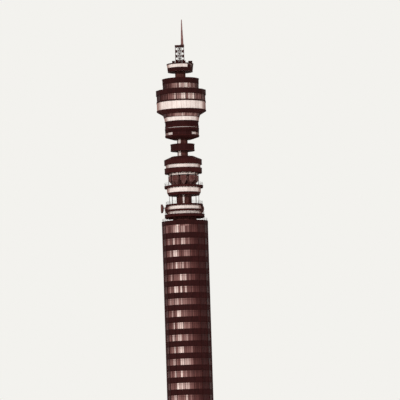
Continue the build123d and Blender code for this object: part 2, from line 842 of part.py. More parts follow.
spike_taper = (spike_foot_radius - spike_tip_radius) * cos(radians(180 / spike_sides))
with BuildPart() as spike:
    with BuildSketch(Plane.XY.offset(spike_base)):
        with Locations((spike_offset, 0)):
            RegularPolygon(spike_foot_radius, spike_sides)
    extrude(amount=spike_height, taper=degrees(atan2(spike_taper, spike_height)))
spike.part.label = "spike"
export_step(spike.part, "parts/spike.step")
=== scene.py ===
import math
from collections import namedtuple

import bpy
from mathutils import Matrix, Vector


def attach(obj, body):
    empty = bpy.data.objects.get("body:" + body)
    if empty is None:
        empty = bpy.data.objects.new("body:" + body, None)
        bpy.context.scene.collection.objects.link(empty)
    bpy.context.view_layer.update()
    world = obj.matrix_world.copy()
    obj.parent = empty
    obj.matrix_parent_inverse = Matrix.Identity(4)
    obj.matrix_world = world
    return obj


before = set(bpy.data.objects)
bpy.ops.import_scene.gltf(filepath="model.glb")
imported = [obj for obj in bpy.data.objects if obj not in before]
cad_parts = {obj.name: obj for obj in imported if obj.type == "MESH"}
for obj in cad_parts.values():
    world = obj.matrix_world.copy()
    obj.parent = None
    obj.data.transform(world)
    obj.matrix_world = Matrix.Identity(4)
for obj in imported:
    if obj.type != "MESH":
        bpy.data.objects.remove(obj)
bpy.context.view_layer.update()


class Band(namedtuple("Band", "radius low top spread", defaults=(0.0,))):
    """Stretch of the tower between two levels, in metres of the model.

    Its radius is its distance from the axis at its foot. Its spread is how much farther out it is at its top.
    """

    @property
    def middle(self):
        return (self.low + self.top) / 2

    @property
    def height(self):
        return self.top - self.low

    @property
    def lean(self):
        return math.atan2(self.spread, self.height)


# Plan of the tower: flat bays of the walls, sides of the platforms' rims
bays = 16
bay = math.tau / bays
mid_bay = (0,)
rim_sides = 32
rim_side = math.tau / rim_sides
rim_share = math.cos(rim_side / 2)  # Distance from the axis to a rim's sides, as a share of its radius

# Shaft
storeys = 22
storey = 0.456
shaft_face = 0.850
first_band = Band(0.8563, 0.590, 0.790)
cornice = Band(0.872, 10.682, 10.832)

# Platforms and cones, out to the corners of their rims
low_deck = Band(0.760, 11.000, 11.105)
second_deck = Band(0.690, 11.220, 11.290)
third_deck = Band(0.710, 11.430, 11.490)
aerial_deck = Band(0.740, 12.135, 12.205)
aerial_roof = Band(0.715, 12.690, 12.870)
cap_rim = Band(0.720, 13.010, 13.190)
cap = Band(cap_rim.radius, cap_rim.top, 13.330, -0.320)
tier_floor = Band(0.652, 14.090, 14.130)
tier_soffit = Band(0.335, 13.990, tier_floor.low, 0.317)
tier_roof = Band(0.652, 14.340, 14.400)
viewing_floor = Band(0.645, 14.435, 14.495)
restaurant_soffit = Band(0.732, 14.940, 15.070, 0.218)

# Core where it shows, and the walls, out to their flats
open_gallery = Band(0.290, third_deck.top, 11.840)
lower_neck = Band(0.200, cap.top, 13.540)
upper_neck = Band(0.200, 13.800, tier_soffit.low)
low_drum = Band(0.640, low_deck.top, second_deck.low)
second_drum = Band(0.640, second_deck.top, third_deck.low)
middle_drum = Band(0.640, 11.945, aerial_deck.low)
upper_drum = Band(0.655, aerial_roof.top, cap_rim.low)
neck_drum = Band(0.450, 13.570, 13.770)
tier_slot = Band(0.626, tier_floor.top, 14.225)
tier_wall = Band(0.636, tier_slot.top, tier_roof.low)
viewing_wall = Band(0.628, viewing_floor.top, 14.655)
viewing_parapet = Band(0.644, viewing_wall.top, 14.820, 0.020)
viewing_glass = Band(0.664, viewing_parapet.top, restaurant_soffit.low, 0.044)
restaurant_parapet = Band(0.926, 15.090, 15.390)
restaurant_window = Band(0.906, 15.440, 15.680)
restaurant_cornice = Band(0.952, restaurant_window.top, 15.845)
upper_window = Band(0.678, 15.895, 16.100)
upper_fascia = Band(0.690, upper_window.top, 16.295)
top_drum = Band(0.468, 16.580, 16.890, 0.037)

# Horn aerials, mast and spike
horns = 10
horn_step = math.tau / horns
horn_mouth = Band(0.550, 12.384, 12.576)
mast = Band(0.172, 16.830, 17.570)
mast_bays = 4
mast_bay_height = mast.height / mast_bays
spike_x, spike_base = 0.106, 17.606


# Making pieces
def pick(*pieces):
    """Only these pieces are selected, and the first of them is the active one."""
    bpy.ops.object.select_all(action="DESELECT")
    for piece in pieces:
        piece.select_set(True)
    if pieces:
        bpy.context.view_layer.objects.active = pieces[0]


def settle(piece):
    """Puts the piece's place and turn into its mesh, with the origin at the tower's foot."""
    pick(piece)
    bpy.ops.object.transform_apply(location=True, rotation=True, scale=True)
    return piece


def block(middle, size, edge=0.0, lean=0.0, turn=0.0):
    """Box with softened edges. It leans out over -Y, then turns about the upright through it."""
    pick()
    bpy.ops.mesh.primitive_cube_add(size=1)
    piece = bpy.context.object
    piece.scale = size
    settle(piece)
    if edge:
        bpy.ops.object.mode_set(mode="EDIT")
        bpy.ops.mesh.select_all(action="SELECT")
        bpy.ops.mesh.bevel(offset=edge, segments=1, affect="EDGES")
        bpy.ops.object.mode_set(mode="OBJECT")
    piece.matrix_world = (
        Matrix.Translation(middle) @ Matrix.Rotation(turn, 4, "Z") @ Matrix.Rotation(lean, 4, "X")
    )
    return settle(piece)


def row(places, y, level, size, edge=0.0, lean=0.0):
    """Like blocks side by side, at places measured sideways from the middle of the front bay."""
    return [block((x, y, level), size, edge, lean) for x in places]


def on_wall(face, places, level, size, edge=0.0):
    """Row of blocks that stand on the outside of a wall's front bay."""
    return row(places, -(face + size[1] / 2), level, size, edge)


def rod(start, end, radius, sides=8):
    """Round bar between two points."""
    start, end = Vector(start), Vector(end)
    pick()
    bpy.ops.mesh.primitive_cylinder_add(vertices=sides, radius=radius, depth=(end - start).length)
    piece = bpy.context.object
    aim = (end - start).to_track_quat("Z", "Y").to_matrix().to_4x4()
    piece.matrix_world = Matrix.Translation((start + end) / 2) @ aim
    return settle(piece)


def ring(radius, level, width, height, sides=rim_sides, lean=0.0):
    """Many-sided ring round the axis, out to its corners, with a rectangular section that may lean out."""
    pick()
    bpy.ops.mesh.primitive_plane_add(size=1)
    piece = bpy.context.object
    piece.scale = (width, height, 1)
    settle(piece)
    piece.matrix_world = (
        Matrix.Rotation(math.pi / sides, 4, "Z") @ Matrix.Translation((radius, 0, level))
        @ Matrix.Rotation(lean, 4, "Y") @ Matrix.Rotation(math.pi / 2, 4, "X")
    )
    settle(piece)
    bpy.ops.object.mode_set(mode="EDIT")
    bpy.ops.mesh.select_all(action="SELECT")
    bpy.ops.mesh.delete(type="ONLY_FACE")
    bpy.ops.mesh.select_all(action="SELECT")
    bpy.ops.mesh.spin(steps=sides, angle=math.tau, center=(0, 0, 0), axis=(0, 0, 1))
    bpy.ops.mesh.select_all(action="SELECT")
    bpy.ops.mesh.remove_doubles(threshold=0.00001)
    bpy.ops.mesh.delete_loose()
    bpy.ops.mesh.select_all(action="SELECT")
    bpy.ops.mesh.normals_make_consistent(inside=False)
    bpy.ops.object.mode_set(mode="OBJECT")
    return piece


def corner_of(face):
    """Distance from the axis to a wall's corners, from that to its flats."""
    return face / math.cos(bay / 2)


def wall_ring(face, level, width, height, lean=0.0):
    """Ring whose flats follow those of a wall."""
    return ring(corner_of(face), level, width, height, bays, lean)


def bay_width(face, gap):
    """Width of a wall's flat bay, less a gap."""
    return 2 * face * math.tan(bay / 2) - gap


def rim_slope(cone):
    """How steeply the sides of a many-sided cone rise outwards."""
    return math.atan(cone.height / (cone.spread * rim_share))


def joined(parts):
    """Several parts as one piece."""
    pick(*parts)
    if len(parts) > 1:
        bpy.ops.object.join()
    return bpy.context.object


def moved_round(piece, angle):
    """The piece moved round the tower's axis."""
    piece.rotation_euler.z = angle
    return settle(piece)


def copied(piece, count, **settings):
    """Copies of the piece, made by an array with the settings given."""
    copies = piece.modifiers.new("copies", "ARRAY")
    copies.use_relative_offset = False
    copies.count = count
    for setting, value in settings.items():
        setattr(copies, setting, value)
    pick(piece)
    bpy.ops.object.modifier_apply(modifier=copies.name)
    return piece


def around(piece, count=bays, step=bay, first=0.0):
    """Copies of the piece round the tower's axis, the first of them moved round by its own angle."""
    if first:
        moved_round(piece, first)
    pick()
    bpy.ops.object.empty_add(location=(0, 0, 0), rotation=(0, 0, step))
    pivot = bpy.context.object
    copied(piece, count, use_object_offset=True, offset_object=pivot)
    bpy.data.objects.remove(pivot)
    return piece


def at_corners(piece):
    """Copies of the piece at the corners between the bays."""
    return around(piece, first=bay / 2)


def corner_posts(outwards, level, size, edge=0.0, lean=0.0):
    """Upright blocks at the corners between the bays, at a distance outwards from the axis."""
    return at_corners(block((0, -outwards, level), size, edge, lean))


def round_rim(piece):
    """Copies of the piece at the middles of a platform rim's sides."""
    return around(piece, rim_sides, rim_side, rim_side / 2)


def stacked(piece, count, rise):
    """Copies of the piece one above the other."""
    return copied(piece, count, use_constant_offset=True, constant_offset_displace=(0, 0, rise))


def quarters(width):
    """Places that part a bay's width in four."""
    return (-width / 4, 0, width / 4)


def window_bars(window, places, width, bar, rail_height=0.010):
    """Uprights at the places given, a sill and a head on the front bay of a window band.

    The bar is an upright's width and depth. The sill and the head have its depth too.
    """
    bar_width, depth = bar
    bars = on_wall(window.radius, places, window.middle, (bar_width, depth, window.height))
    for level in (window.low + 0.005, window.top - 0.005):
        bars += on_wall(window.radius, mid_bay, level, (width, depth, rail_height))
    return bars


def smooth(piece):
    """Round surfaces shade smoothly and sharp edges stay sharp."""
    pick(piece)
    bpy.ops.object.shade_smooth_by_angle(angle=math.radians(40))
    return piece


def fitted(name, piece, slot):
    """Names a finished piece, gives it the finish of its slot and fixes it to the tower."""
    piece.name = name
    piece.data.name = name
    piece.data.materials.clear()
    piece.data.materials.append(finishes[slot])
    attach(piece, "root")


# Finishes
white = (1, 1, 1, 1)
pale_soot = (0.80, 0.78, 0.78, 1)
speck_soot = (0.86, 0.84, 0.84, 1)
# Middle tint of the painted shade on wall flanks
side_shade = (0.70, 0.60, 0.58, 1)
joint_soot = (0.45, 0.40, 0.40, 1)


def tone(red, green, blue):
    """Colour from its screen values of 0 to 255."""
    def linear(value):
        value /= 255
        return value / 12.92 if value <= 0.04045 else ((value + 0.055) / 1.055) ** 2.4
    return (linear(red), linear(green), linear(blue), 1)


class Finish:
    """A procedural material being wired up, with the socket of its surface shader at hand."""

    def __init__(self, name, roughness=0.6, metallic=0.0, shine=0.1):
        self.material = bpy.data.materials.new(name)
        self.material.use_nodes = True
        self.tree = self.material.node_tree
        self.tree.nodes.clear()
        self.surface = self.add("ShaderNodeBsdfPrincipled")
        self.surface.inputs["Roughness"].default_value = roughness
        self.surface.inputs["Metallic"].default_value = metallic
        self.surface.inputs["Specular IOR Level"].default_value = shine
        output = self.add("ShaderNodeOutputMaterial")
        self.link(self.surface.outputs["BSDF"], output.inputs["Surface"])
        self.place = self.add("ShaderNodeTexCoord").outputs["Object"]

    def add(self, kind):
        return self.tree.nodes.new(kind)

    def link(self, start, end):
        self.tree.links.new(start, end)

    def feed(self, value, socket):
        """Wires a socket to another one, or sets it to a plain number or colour."""
        if isinstance(value, (int, float, tuple)):
            socket.default_value = value
        else:
            self.link(value, socket)

    def maths(self, operation, first, second=0.0):
        """Maths node on sockets or plain numbers."""
        made = self.add("ShaderNodeMath")
        made.operation = operation
        self.feed(first, made.inputs[0])
        self.feed(second, made.inputs[1])
        return made.outputs[0]

    def scaled(self, scale):
        """The place on the object, stretched."""
        made = self.add("ShaderNodeMapping")
        made.inputs["Scale"].default_value = scale
        self.link(self.place, made.inputs["Vector"])
        return made.outputs["Vector"]

    def split(self, vector):
        made = self.add("ShaderNodeSeparateXYZ")
        self.link(vector, made.inputs[0])
        return made.outputs

    def paired(self, across, up):
        made = self.add("ShaderNodeCombineXYZ")
        self.link(across, made.inputs["X"])
        self.link(up, made.inputs["Y"])
        return made.outputs[0]

    def wrapped(self, radius):
        """Distance round the wall and height, as a flat drawing of the wall."""
        place = self.split(self.place)
        turn = self.maths("ARCTAN2", place["X"], self.maths("MULTIPLY", place["Y"], -1.0))
        return self.paired(self.maths("MULTIPLY", turn, radius), place["Z"])

    def faced(self, turn):
        """How squarely a wall faces the direction turned from the front, or the opposite one."""
        flat = self.split(self.wrapped(1.0))
        painted_light_lobe = self.maths("COSINE", self.maths("SUBTRACT", flat["X"], turn))
        return self.maths("MULTIPLY", painted_light_lobe, painted_light_lobe)

    def noise(self, vector, scale, detail=4.0, rough=0.55):
        made = self.add("ShaderNodeTexNoise")
        made.inputs["Scale"].default_value = scale
        made.inputs["Detail"].default_value = detail
        made.inputs["Roughness"].default_value = rough
        self.link(vector, made.inputs["Vector"])
        return made.outputs["Fac"]

    def ramp(self, value, *stops):
        """Colours along a value, each stop a position and its colour."""
        made = self.add("ShaderNodeValToRGB")
        while len(made.color_ramp.elements) < len(stops):
            made.color_ramp.elements.new(0.5)
        for element, (position, colour) in zip(made.color_ramp.elements, stops):
            element.position = position
            element.color = colour
        self.link(value, made.inputs["Fac"])
        return made.outputs["Color"]

    def mix(self, kind, amount, first, second):
        """Two colours blended by a plain number."""
        made = self.add("ShaderNodeMix")
        made.data_type = "RGBA"
        made.blend_type = kind
        made.inputs["Factor"].default_value = amount
        for name, value in (("A", first), ("B", second)):
            self.feed(value, [i for i in made.inputs if i.name == name and i.type == "RGBA"][0])
        return [o for o in made.outputs if o.type == "RGBA"][0]

    def panels(self, vector, width, height, joint, joint_tone):
        """Rectangular panels with thin joints, and how much of each point is joint."""
        made = self.add("ShaderNodeTexBrick")
        made.offset = 0.0
        made.inputs["Color1"].default_value = white
        made.inputs["Color2"].default_value = (0.86, 0.86, 0.86, 1)
        made.inputs["Mortar"].default_value = joint_tone
        made.inputs["Scale"].default_value = 1.0
        made.inputs["Mortar Size"].default_value = joint
        made.inputs["Mortar Smooth"].default_value = 0.2
        made.inputs["Brick Width"].default_value = width
        made.inputs["Row Height"].default_value = height
        self.link(vector, made.inputs["Vector"])
        return made.outputs["Color"], made.outputs["Fac"]

    def relief(self, height, strength, distance):
        """Bumps the surface by a height socket."""
        made = self.add("ShaderNodeBump")
        made.inputs["Strength"].default_value = strength
        made.inputs["Distance"].default_value = distance
        self.link(height, made.inputs["Height"])
        self.link(made.outputs["Normal"], self.surface.inputs["Normal"])

    def coloured(self, colour):
        self.link(colour, self.surface.inputs["Base Color"])


def weathered(name, pale, dark, radius, panel, joint=0.002, streaks=0.7, roughness=0.8, flank_shade=None):
    """Panelled wall or platform edge with rain streaks, speckle and joints, and painted shade on the flanks
    if given.
    """
    finish = Finish(name, roughness=roughness)
    run = finish.noise(finish.scaled((9, 9, 0.9)), scale=2.6, detail=5.0)
    cloud = finish.noise(finish.place, scale=3.2, detail=3.0)
    speck = finish.noise(finish.place, scale=90.0, detail=2.0)
    base = finish.ramp(run, (0.30, dark), (0.62, pale))
    base = finish.mix("MIX", 1 - streaks, base, pale)
    clouded = finish.ramp(cloud, (0.25, pale_soot), (0.70, white))
    base = finish.mix("MULTIPLY", 1.0, base, clouded)
    specked = finish.ramp(speck, (0.30, speck_soot), (0.55, white))
    base = finish.mix("MULTIPLY", 0.7, base, specked)
    field, joints = finish.panels(finish.wrapped(radius), *panel, joint, joint_soot)
    base = finish.mix("MULTIPLY", 0.9, base, field)
    # Painted shade: bays turned away from the front grow darker towards the flanks, as the light falls off
    # there.
    if flank_shade:
        flank_shading = finish.ramp(finish.faced(0.0), (0.03, flank_shade), (0.20, side_shade), (0.45, white))
        base = finish.mix("MULTIPLY", 1.0, base, flank_shading)
    finish.coloured(base)
    depth = finish.maths("SUBTRACT", finish.maths("MULTIPLY", speck, 0.35), joints)
    finish.relief(depth, strength=0.35, distance=0.002)
    return finish.material


def board_marked(name, pale, dark, radius):
    """Concrete cast in lifts against narrow upright boards, finely speckled."""
    finish = Finish(name, roughness=0.85)
    flat = finish.wrapped(radius)
    board_width, lift_width, lift_height = 0.022, 9.0, 0.30
    boards, board_joints = finish.panels(flat, board_width, lift_height, 0.0016, (0.62, 0.58, 0.57, 1))
    lifts, lift_joints = finish.panels(flat, lift_width, lift_height, 0.004, (0.50, 0.46, 0.45, 1))
    run = finish.noise(finish.scaled((12, 12, 1.4)), scale=2.0, detail=6.0)
    speck = finish.noise(finish.place, scale=120.0, detail=2.0)
    base = finish.ramp(run, (0.32, dark), (0.66, pale))
    base = finish.mix("MULTIPLY", 0.6, base, boards)
    base = finish.mix("MULTIPLY", 0.8, base, lifts)
    specked = finish.ramp(speck, (0.30, (0.80, 0.78, 0.77, 1)), (0.60, white))
    finish.coloured(finish.mix("MULTIPLY", 0.7, base, specked))
    joints = finish.maths("ADD", board_joints, lift_joints)
    depth = finish.maths("SUBTRACT", finish.maths("MULTIPLY", speck, 0.4), joints)
    finish.relief(depth, strength=0.4, distance=0.002)
    return finish.material


def window_finish(name, tones, radius, pane, first_level, painted_light_turn, narrow=1.0):
    """Window glass with a pale blind behind each pane, toned at random pane by pane, and painted light and
    reflection: panes that face the given turn are paler, those turned away darker, each darker at its head.
    """
    finish = Finish(name, roughness=0.25, shine=0.3)
    finish.surface.inputs["IOR"].default_value = 1.3
    flat = finish.split(finish.wrapped(radius))
    pane_width, pane_height = pane
    across = finish.maths("DIVIDE", flat["X"], pane_width)
    up = finish.maths("DIVIDE", finish.maths("SUBTRACT", flat["Y"], first_level), pane_height)
    chance = finish.add("ShaderNodeTexWhiteNoise")
    chance.noise_dimensions = "2D"
    which = finish.paired(finish.maths("FLOOR", across), finish.maths("FLOOR", up))
    finish.link(which, chance.inputs["Vector"])
    # Painted light and reflection: panes grow paler the more squarely they face the turn given.
    painted_light_lobe = finish.maths("POWER", finish.faced(math.radians(painted_light_turn)), narrow)
    share = finish.maths("ADD", 0.35, finish.maths("MULTIPLY", chance.outputs["Value"], 0.65))
    step = 0.86 / (len(tones) - 1)
    stops = [(0.06 + step * number, colour) for number, colour in enumerate(tones)]
    blinds_and_painted_light = finish.ramp(finish.maths("MULTIPLY", painted_light_lobe, share), *stops)
    ripple = finish.noise(finish.scaled((3, 3, 1)), scale=2.0, detail=2.0)
    sheen = finish.ramp(ripple, (0.30, (0.78, 0.74, 0.74, 1)), (0.65, white))
    lit = finish.mix("MULTIPLY", 0.8, blinds_and_painted_light, sheen)
    head = finish.ramp(finish.maths("FRACT", up), (0.55, white), (0.98, (0.70, 0.66, 0.66, 1)))
    finish.coloured(finish.mix("MULTIPLY", 0.6, lit, head))
    finish.relief(finish.noise(finish.place, scale=14.0, detail=1.0), strength=0.05, distance=0.002)
    return finish.material


def metal_finish(name, pale, dark, metallic=0.1):
    """Painted or galvanised steel with worn patches and fine grain."""
    finish = Finish(name, metallic=metallic)
    worn = finish.noise(finish.place, scale=7.0, detail=6.0, rough=0.65)
    fine = finish.noise(finish.scaled((1, 1, 0.3)), scale=60.0, detail=3.0)
    base = finish.ramp(worn, (0.35, dark), (0.62, pale))
    grained = finish.ramp(fine, (0.35, (0.82, 0.80, 0.80, 1)), (0.60, white))
    finish.coloured(finish.mix("MULTIPLY", 0.8, base, grained))
    rough = finish.add("ShaderNodeMapRange")
    rough.inputs["To Min"].default_value = 0.5
    rough.inputs["To Max"].default_value = 0.75
    finish.link(worn, rough.inputs["Value"])
    finish.link(rough.outputs["Result"], finish.surface.inputs["Roughness"])
    finish.relief(fine, strength=0.15, distance=0.001)
    return finish.material


maroon, deep_maroon = tone(50, 16, 16), tone(30, 7, 7)
# Tones of the window glass, dark to pale, carrying both the random tone of the blind in each pane and the
# painted light and reflection
shaft_blind_and_light_tones = (tone(60, 27, 26), tone(100, 62, 59), tone(148, 112, 108), tone(230, 210, 204))
head_blind_and_light_tones = (tone(58, 24, 23), tone(118, 82, 79), tone(158, 126, 121), tone(228, 212, 205))
door_blind_and_light_tones = (tone(60, 30, 28), tone(116, 84, 80))
unbroken = 4.0  # Panel height that leaves upright joints only
made_finishes = (
    board_marked("concrete", tone(100, 62, 57), tone(54, 24, 22), radius=0.29),
    weathered(
        "ground_cladding", tone(150, 124, 118), tone(98, 70, 65), radius=0.85, panel=(0.169, 0.186),
        joint=0.003, streaks=0.5, roughness=0.7,
    ),
    window_finish(
        "shaft_glass", shaft_blind_and_light_tones, radius=0.859, pane=(0.0843, storey), first_level=first_band.low,
        painted_light_turn=-24, narrow=1.7,
    ),
    weathered("spandrel", maroon, deep_maroon, radius=0.859, panel=(0.169, 0.2), joint=0.0015),
    metal_finish("mullion", tone(56, 20, 18), tone(34, 9, 9)),
    weathered("cornice", maroon, deep_maroon, radius=0.88, panel=(0.345, 0.13)),
    weathered(
        "deck", tone(60, 22, 21), tone(34, 9, 9), radius=0.7, panel=(0.36, unbroken), roughness=0.85
    ),
    # The pale cladding has painted shade on its flanks.
    weathered(
        "pale_cladding", tone(244, 236, 232), tone(204, 178, 171), radius=0.65, panel=(0.1276, unbroken),
        streaks=0.45, roughness=0.6, flank_shade=tone(158, 120, 114),
    ),
    weathered("dark_cladding", maroon, deep_maroon, radius=0.64, panel=(0.125, unbroken)),
    window_finish(
        "window_glass", head_blind_and_light_tones, radius=0.906, pane=(0.0893, 0.24),
        first_level=restaurant_window.low, painted_light_turn=16,
    ),
    metal_finish("steelwork", tone(60, 24, 22), tone(36, 11, 11)),
    metal_finish("spike_cover", tone(140, 104, 100), tone(96, 60, 58), metallic=0.0),
    metal_finish("aerial_metal", tone(146, 108, 104), tone(92, 58, 55)),
    metal_finish("dish_metal", tone(106, 68, 64), tone(68, 34, 32)),
    window_finish("door_glass", door_blind_and_light_tones, radius=0.84, pane=(0.07, 0.24), first_level=0.06, painted_light_turn=0),
)


def slot_name(material):
    """Name of the material's slot, without the number that tells it from its namesakes."""
    return material.name.split(".")[0]


finishes = {slot_name(material): material for material in made_finishes}
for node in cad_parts.values():
    for index, plain in enumerate(node.data.materials):
        node.data.materials[index] = finishes[slot_name(plain)]

# Window bars between the spandrel bands of the shaft, in the lower storeys and in the taller top one
first_window = Band(shaft_face, first_band.top, first_band.low + storey)
top_window = Band(shaft_face, first_band.top + (storeys - 1) * storey, cornice.low)
clear_width = bay_width(shaft_face, 0.014)
shaft_bar = (0.007, 0.006)
lower_bars = window_bars(first_window, quarters(clear_width), clear_width, shaft_bar)
lower_bars += on_wall(shaft_face, mid_bay, first_window.low + 0.190, (clear_width, 0.004, 0.005))
fitted("shaft_window_bars", around(stacked(joined(lower_bars), storeys - 1, storey)), "mullion")
top_bars = window_bars(top_window, quarters(clear_width), clear_width, shaft_bar)
fitted("shaft_top_window_bars", around(joined(top_bars)), "mullion")

# Raised spandrel panels, two a bay, between a rail above and a rail below
spandrels = on_wall(first_band.radius, (-0.081, 0.081), first_band.middle, (0.154, 0.004, 0.160), 0.0015)
for level in (first_band.low + 0.005, first_band.top - 0.005):
    spandrels += on_wall(first_band.radius, mid_bay, level, (clear_width, 0.006, 0.008))
fitted("spandrel_panels", around(stacked(joined(spandrels), storeys, storey)), "spandrel")

# Shaft cornice: coping, a drip at its underside and joint covers at its corners
drip_radius = 0.891
coping_height = 0.012
cornice_parts = [
    ring(cornice.radius, cornice.top + coping_height / 2, 0.050, coping_height, bays),
    ring(drip_radius, cornice.low + 0.010, 0.010, 0.012, bays),
    corner_posts(drip_radius, cornice.middle, (0.012, 0.008, 0.128), 0.001),
]
fitted("shaft_coping", joined(cornice_parts), "cornice")

# Ground storey: stone panels with open joints in three courses, and only the top one over the entrance
courses = (0.155, 0.330, 0.505)


def stones(levels):
    """Pairs of stone panels in the front bay at the levels given."""
    pairs = []
    for level in levels:
        pairs += on_wall(shaft_face, (-0.082, 0.082), level, (0.158, 0.006, 0.169), 0.002)
    return pairs


side_stones = around(joined(stones(courses)), bays - 1, bay, bay)
fitted("ground_stones", joined([side_stones, *stones(courses[-1:])]), "ground_cladding")

# Entrance: kick plates and middle rails on the doors, a canopy on two brackets, pull handles on studs
leaf_face, leaf_places = 0.839, (-0.0745, 0.0745)
handle_y = -0.846
entrance_parts = [
    *on_wall(leaf_face, leaf_places, 0.078, (0.118, 0.003, 0.030), 0.001),
    *on_wall(leaf_face, leaf_places, 0.235, (0.118, 0.003, 0.010)),
    *row((-0.150, 0.150), -0.868, 0.318, (0.010, 0.048, 0.018), 0.002),
    block((0, -0.885, 0.334), (0.350, 0.090, 0.014), 0.003),
]
for x in (-0.024, 0.024):
    entrance_parts.append(rod((x, handle_y, 0.130), (x, handle_y, 0.210), 0.0022))
    for level in (0.135, 0.205):
        entrance_parts.append(rod((x, 0.001 - leaf_face, level), (x, handle_y, level), 0.0018))
fitted("entrance_fittings", joined(entrance_parts), "mullion")

# Platform edges: a nosing at the top and a drip at the underside
edge_parts = []
for deck in (
    low_deck, second_deck, third_deck, aerial_deck, aerial_roof, cap_rim, tier_floor, tier_roof,
    viewing_floor,
):
    edge_parts.append(ring(deck.radius + 0.001, deck.top - 0.005, 0.012, 0.012))
    edge_parts.append(ring(deck.radius - 0.002, deck.low + 0.004, 0.012, 0.012))
fitted("platform_edges", joined(edge_parts), "deck")

# Radial ribs under the platforms, and on the sloping undersides of the tier and the restaurant
rib_parts = []
for deck, y, size, edge, copied_round in (
    (low_deck, -0.600, (0.022, 0.270, 0.036), 0.003, at_corners),
    (aerial_roof, -0.500, (0.018, 0.400, 0.028), 0.002, at_corners),
    (aerial_deck, -0.697, (0.014, 0.070, 0.028), 0.002, round_rim),
    (second_deck, -0.672, (0.012, 0.028, 0.014), 0.001, round_rim),
    (third_deck, -0.680, (0.012, 0.040, 0.016), 0.001, round_rim),
):
    rib_parts.append(copied_round(block((0, y, deck.low - size[2] / 2), size, edge)))
for soffit, y, drop, size in (
    (tier_soffit, -0.492, 0.006, (0.014, 0.325, 0.020)),
    (restaurant_soffit, -0.841, 0.004, (0.012, 0.245, 0.016)),
):
    rib = block((0, y, soffit.middle - drop), size, 0.002, -rim_slope(soffit))
    rib_parts.append(round_rim(rib))
fitted("platform_ribs", joined(rib_parts), "deck")


# Guard rails on the shaft's roof and on three platforms
def guard_rail(radius, floor_level, height, bar=0.005):
    """Two rails, with uprights at the middles of their sides."""
    rails = [ring(radius, floor_level + height * share, bar, bar) for share in (1.0, 0.55)]
    upright = block((0, -radius * rim_share, floor_level + height / 2), (bar, bar, height))
    return [*rails, round_rim(upright)]


rail_parts = guard_rail(0.855, cornice.top + coping_height, 0.10)
for deck, height in ((low_deck, 0.10), (third_deck, 0.11), (aerial_deck, 0.11)):
    rail_parts += guard_rail(deck.radius - 0.012, deck.top, height)
fitted("guard_rails", joined(rail_parts), "steelwork")

# Coned cap: standing seams over the slope
seam = block((0, -0.559, cap.middle + 0.005), (0.006, 0.340, 0.012), 0.001, -rim_slope(cap))
fitted("cap_seams", round_rim(seam), "deck")


# Drum walls: cover strips over the panel joints
def drum_strips(walls):
    """Upright strips at the corners and at the bays' middles of drum walls."""
    strips = []
    for wall in walls:
        outwards = corner_of(wall.radius) + 0.001
        strips.append(corner_posts(outwards, wall.middle, (0.010, 0.004, wall.height), 0.001))
        middle_strip = on_wall(wall.radius, mid_bay, wall.middle, (0.004, 0.004, wall.height))
        strips.append(around(joined(middle_strip)))
    return joined(strips)


fitted("drum_strips", drum_strips((low_drum, second_drum, middle_drum, upper_drum)), "pale_cladding")
fitted("neck_drum_strips", drum_strips((neck_drum,)), "dark_cladding")

# Pale cable ducts up the front left of the necks and the front of the core, short of the plates they meet;
# placed where the necks and core show a highlight, they also stand in for painted highlights there
duct_depth, duct_gap = 0.016, 0.001
duct_parts = []
for neck in (lower_neck, upper_neck):
    duct_size = (0.105, duct_depth, neck.height - 2 * duct_gap)
    duct = block((0, -(neck.radius + 0.004), neck.middle), duct_size, 0.003)
    duct_parts.append(moved_round(duct, math.radians(-34)))
duct_size = (0.060, duct_depth, open_gallery.height - 2 * duct_gap)
duct_y = -(open_gallery.radius + 0.003)
duct_parts.append(block((-0.020, duct_y, open_gallery.middle), duct_size, 0.003))
fitted("core_ducts_and_highlights", joined(duct_parts), "pale_cladding")

# Pale baffle between the horn tops and the platform over them
baffle = ring(horn_mouth.radius - 0.002, aerial_roof.low - 0.043, 0.006, 0.078)
fitted("horn_baffle", baffle, "pale_cladding")

# Horn aerials: flanged mouths, throat flanges, back stays and covers
flange_y = -(horn_mouth.radius + 0.002)
flange_parts = row((-0.107, 0.107), flange_y, horn_mouth.middle, (0.008, 0.010, horn_mouth.height), 0.001)
for level in (horn_mouth.low + 0.004, horn_mouth.top - 0.004):
    flange_parts.append(block((0, flange_y, level), (0.222, 0.010, 0.008), 0.001))
for rise in (0.035, 0.047):
    flange_parts.append(block((0, -0.410, aerial_deck.top + rise), (0.064, 0.064, 0.006), 0.001))
for side in (-1, 1):
    stay_top = (side * 0.070, -0.352, aerial_deck.top + 0.215)
    stay_foot = (side * 0.056, -0.330, aerial_deck.top + 0.001)
    flange_parts.append(rod(stay_top, stay_foot, 0.004, 6))
fitted("horn_flanges", around(joined(flange_parts), horns, horn_step), "aerial_metal")
horn_cover = block((0, -(horn_mouth.radius - 0.0025), horn_mouth.middle), (0.190, 0.005, 0.170), 0.002)
fitted("horn_covers", around(horn_cover, horns, horn_step), "dish_metal")


